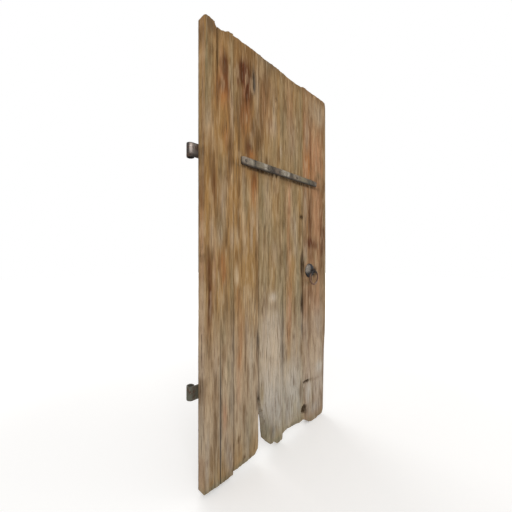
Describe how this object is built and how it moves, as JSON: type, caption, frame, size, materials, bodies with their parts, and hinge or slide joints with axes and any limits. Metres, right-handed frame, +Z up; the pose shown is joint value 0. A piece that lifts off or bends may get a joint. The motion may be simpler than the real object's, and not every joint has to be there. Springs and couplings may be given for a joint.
{
  "type": "plank door leaf",
  "caption": "Weathered plank door leaf on two ledges, with cranked strap hinge bands rolled to eyes, a forged front strap and a ring pull on a domed rose.",
  "frame": {"origin": "middle of the box round the whole leaf with its ironwork, at the level of its lowest foot", "axes": "+Z up along the planks, +X across the leaf from the hinge edge to the free edge, the weathered face with the ring pull towards -Y"},
  "size_m": [0.8887, 0.1248, 1.821],
  "materials": {
    "honey_wood": "bare, weathered, honey brown with red-brown streaks",
    "grey_wood": "bare, weathered, grey tan, bleached towards the foot",
    "pink_wood": "bare, weathered, pinkish brown",
    "ledge_wood": "bare, aged, darker on the sheltered side",
    "band_iron": "forged, dark, rusted",
    "strap_iron": "forged, dark, weathered with pale worn patches",
    "pull_iron": "forged, nearly black",
    "rusty_iron": "rusted",
    "nail_iron": "hand-made, rusted"
  },
  "bodies": {
    "leaf": {"plank_1": "honey_wood", "plank_2": "honey_wood", "plank_3": "grey_wood", "plank_4": "grey_wood", "plank_5": "pink_wood", "upper_ledge": "ledge_wood", "lower_ledge": "ledge_wood", "upper_band": "band_iron", "lower_band": "band_iron", "front_strap": "strap_iron", "rose": "pull_iron", "staple": "pull_iron", "clench_plate": "rusty_iron", "ledge_nail_01": "nail_iron", "ledge_nail_02": "nail_iron", "ledge_nail_03": "nail_iron", "ledge_nail_04": "nail_iron", "ledge_nail_05": "nail_iron", "ledge_nail_06": "nail_iron", "ledge_nail_07": "nail_iron", "ledge_nail_08": "nail_iron", "ledge_nail_09": "nail_iron", "ledge_nail_10": "nail_iron", "ledge_nail_11": "nail_iron", "ledge_nail_12": "nail_iron", "ledge_nail_13": "nail_iron", "ledge_nail_14": "nail_iron", "ledge_nail_15": "nail_iron", "ledge_nail_16": "nail_iron", "ledge_nail_17": "nail_iron", "ledge_nail_18": "nail_iron", "ledge_nail_19": "nail_iron", "ledge_nail_20": "nail_iron", "band_nail_01": "nail_iron", "band_nail_02": "nail_iron", "band_nail_03": "nail_iron", "band_nail_04": "nail_iron", "band_nail_05": "nail_iron", "band_nail_06": "nail_iron", "band_nail_07": "nail_iron", "band_nail_08": "nail_iron", "strap_nail_01": "nail_iron", "strap_nail_02": "nail_iron", "strap_nail_03": "nail_iron", "strap_nail_04": "nail_iron", "strap_nail_05": "nail_iron"},
    "pull_ring": {"ring": "rusty_iron"}
  },
  "joints": [
    {"name": "ring_swing", "type": "hinge", "parent": "leaf", "child": "pull_ring", "pos_m": [0.2764, -0.05045, 0.8338], "axis": [-1, 0, 0], "range_deg": [-20, 200]}
  ]
}
